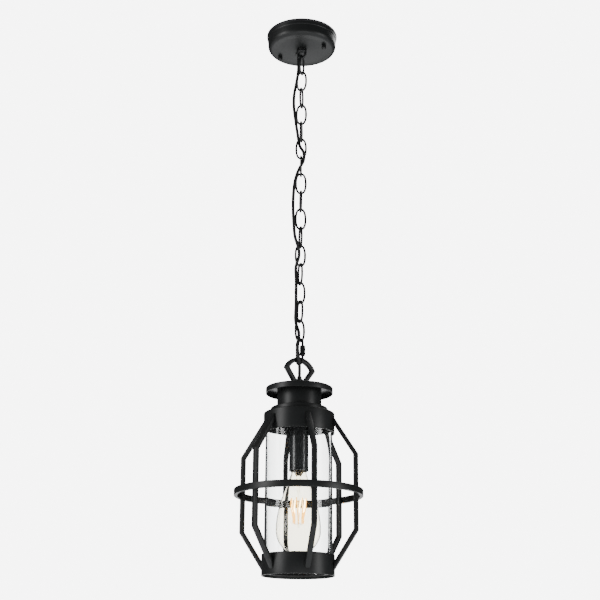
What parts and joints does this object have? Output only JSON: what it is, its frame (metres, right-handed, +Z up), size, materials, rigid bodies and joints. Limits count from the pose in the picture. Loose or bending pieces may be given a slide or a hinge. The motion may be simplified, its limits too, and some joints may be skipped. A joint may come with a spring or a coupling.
{
  "type": "hanging lantern",
  "caption": "Caged glass cylinder lantern on a chain, with a domed ceiling canopy, a woven-in supply cord, a band and ring cage of bent bars and a screw-cap lamp.",
  "frame": {"origin": "middle of the ceiling plane that the canopy's strap lies against", "axes": "+Z up into the ceiling; +X along the line of the two canopy screws; the lantern hangs down -Z"},
  "size_m": [0.207, 0.2066, 0.9612],
  "materials": {
    "black_coat": "satin powder coat",
    "black_cord": "matt sheath",
    "black_plastic": "moulded",
    "zinc_plate": "bright zinc plate",
    "brass": "rolled",
    "nickel": "nickel plate",
    "white_plastic": "moulded",
    "ceramic": "glazed",
    "clear_glass": "clear",
    "gasket": "matt",
    "lead_sleeve": "extruded",
    "filament": "glowing"
  },
  "bodies": {
    "canopy": {"mounting_strap": "zinc_plate", "canopy_pan": "black_coat", "canopy_stud_1": "zinc_plate", "canopy_stud_2": "zinc_plate", "canopy_nut_1": "black_coat", "canopy_nut_2": "black_coat", "cord_bushing": "black_plastic", "loop_stud": "zinc_plate", "strap_nut": "zinc_plate", "canopy_lock_nut": "zinc_plate", "canopy_loop": "black_coat", "terminal_block": "white_plastic", "live_lead": "lead_sleeve", "neutral_lead": "lead_sleeve", "supply_cord": "black_cord"},
    "link_01": {"chain_link_01": "black_coat"},
    "link_02": {"chain_link_02": "black_coat"},
    "link_03": {"chain_link_03": "black_coat"},
    "link_04": {"chain_link_04": "black_coat"},
    "link_05": {"chain_link_05": "black_coat"},
    "link_06": {"chain_link_06": "black_coat"},
    "link_07": {"chain_link_07": "black_coat"},
    "link_08": {"chain_link_08": "black_coat"},
    "link_09": {"chain_link_09": "black_coat"},
    "link_10": {"chain_link_10": "black_coat"},
    "link_11": {"chain_link_11": "black_coat"},
    "link_12": {"chain_link_12": "black_coat"},
    "link_13": {"chain_link_13": "black_coat"},
    "link_14": {"chain_link_14": "black_coat"},
    "link_15": {"chain_link_15": "black_coat"},
    "link_16": {"chain_link_16": "black_coat"},
    "quick_link": {"quick_link": "black_coat"},
    "quick_link_sleeve": {"quick_link_nut": "black_coat"},
    "lantern": {"hanging_loop": "black_coat", "cord_grommet": "black_plastic", "stem_tube": "zinc_plate", "top_disc": "black_coat", "neck_tube": "black_coat", "step_disc": "black_coat", "upper_collar": "black_coat", "stem_nut": "zinc_plate", "cage_bar_1": "black_coat", "cage_bar_2": "black_coat", "cage_bar_3": "black_coat", "cage_bar_4": "black_coat", "cage_bar_5": "black_coat", "cage_bar_6": "black_coat", "middle_ring": "black_coat", "lower_collar": "black_coat", "glass_cylinder": "clear_glass", "glass_rest_ring": "black_coat", "glass_gasket": "gasket", "socket_cover": "black_coat", "screw_shell": "brass", "socket_body": "ceramic", "centre_contact": "brass"},
    "bulb": {"bulb_glass": "clear_glass", "bulb_cap": "nickel", "bulb_stem": "clear_glass", "filament_cage": "filament"}
  },
  "joints": [
    {"name": "link_01_swing", "type": "hinge", "parent": "canopy", "child": "link_01", "pos_m": [0, 0, -0.0436], "axis": [1, 0, 0], "range_deg": [-30, 30], "deforming": ["supply_cord"]},
    {"name": "link_02_swing", "type": "hinge", "parent": "link_01", "child": "link_02", "pos_m": [0, 0, -0.0768], "axis": [-0.0663, 0.9978, 0], "range_deg": [-30, 30], "deforming": ["supply_cord"]},
    {"name": "link_03_swing", "type": "hinge", "parent": "link_02", "child": "link_03", "pos_m": [0, 0, -0.1103], "axis": [-0.9912, -0.1323, 0], "range_deg": [-12, 12], "deforming": ["supply_cord"]},
    {"name": "link_04_swing", "type": "hinge", "parent": "link_03", "child": "link_04", "pos_m": [0, 0, -0.1438], "axis": [0.1977, -0.9803, 0], "range_deg": [-12, 12], "deforming": ["supply_cord"]},
    {"name": "link_05_swing", "type": "hinge", "parent": "link_04", "child": "link_05", "pos_m": [0, 0, -0.1773], "axis": [0.965, 0.2622, 0], "range_deg": [-12, 12], "deforming": ["supply_cord"]},
    {"name": "link_06_swing", "type": "hinge", "parent": "link_05", "child": "link_06", "pos_m": [0, 0, -0.2108], "axis": [-0.3256, 0.9455, 0], "range_deg": [-12, 12], "deforming": ["supply_cord"]},
    {"name": "link_07_swing", "type": "hinge", "parent": "link_06", "child": "link_07", "pos_m": [0, 0, -0.2443], "axis": [-0.9219, -0.3875, 0], "range_deg": [-12, 12], "deforming": ["supply_cord"]},
    {"name": "link_08_swing", "type": "hinge", "parent": "link_07", "child": "link_08", "pos_m": [0, 0, -0.2778], "axis": [0.4478, -0.8942, 0], "range_deg": [-12, 12], "deforming": ["supply_cord"]},
    {"name": "link_09_swing", "type": "hinge", "parent": "link_08", "child": "link_09", "pos_m": [0, 0, -0.3113], "axis": [0.8625, 0.506, 0], "range_deg": [-12, 12], "deforming": ["supply_cord"]},
    {"name": "link_10_swing", "type": "hinge", "parent": "link_09", "child": "link_10", "pos_m": [0, 0, -0.3448], "axis": [-0.5621, 0.8271, 0], "range_deg": [-12, 12], "deforming": ["supply_cord"]},
    {"name": "link_11_swing", "type": "hinge", "parent": "link_10", "child": "link_11", "pos_m": [0, 0, -0.3783], "axis": [-0.788, -0.6157, 0], "range_deg": [-12, 12], "deforming": ["supply_cord"]},
    {"name": "link_12_swing", "type": "hinge", "parent": "link_11", "child": "link_12", "pos_m": [0, 0, -0.4118], "axis": [0.6665, -0.7455, 0], "range_deg": [-12, 12], "deforming": ["supply_cord"]},
    {"name": "link_13_swing", "type": "hinge", "parent": "link_12", "child": "link_13", "pos_m": [0, 0, -0.4453], "axis": [0.6997, 0.7145, 0], "range_deg": [-12, 12], "deforming": ["supply_cord"]},
    {"name": "link_14_swing", "type": "hinge", "parent": "link_13", "child": "link_14", "pos_m": [0, 0, -0.4788], "axis": [-0.7593, 0.6508, 0], "range_deg": [-12, 12], "deforming": ["supply_cord"]},
    {"name": "link_15_swing", "type": "hinge", "parent": "link_14", "child": "link_15", "pos_m": [0, 0, -0.5123], "axis": [-0.599, -0.8007, 0], "range_deg": [-12, 12], "deforming": ["supply_cord"]},
    {"name": "link_16_swing", "type": "hinge", "parent": "link_15", "child": "link_16", "pos_m": [0, 0, -0.5458], "axis": [0.8387, -0.5446, 0], "range_deg": [-12, 12], "deforming": ["supply_cord"]},
    {"name": "quick_link_swing", "type": "hinge", "parent": "link_16", "child": "quick_link", "pos_m": [0, 0, -0.5793], "axis": [0.4879, 0.8729, 0], "range_deg": [-20, 20], "deforming": ["supply_cord"]},
    {"name": "lantern_swing", "type": "hinge", "parent": "quick_link", "child": "lantern", "pos_m": [0, 0, -0.6189], "axis": [-0.9033, 0.4289, 0], "range_deg": [-20, 20], "deforming": ["supply_cord"]},
    {"name": "sleeve_slide", "type": "slide", "parent": "quick_link", "child": "quick_link_sleeve", "axis": [0, 0, 1], "range_m": [0, 0.0044]},
    {"name": "bulb_removal", "type": "slide", "parent": "lantern", "child": "bulb", "axis": [0, 0, -1], "range_m": [0, 0.2]}
  ]
}
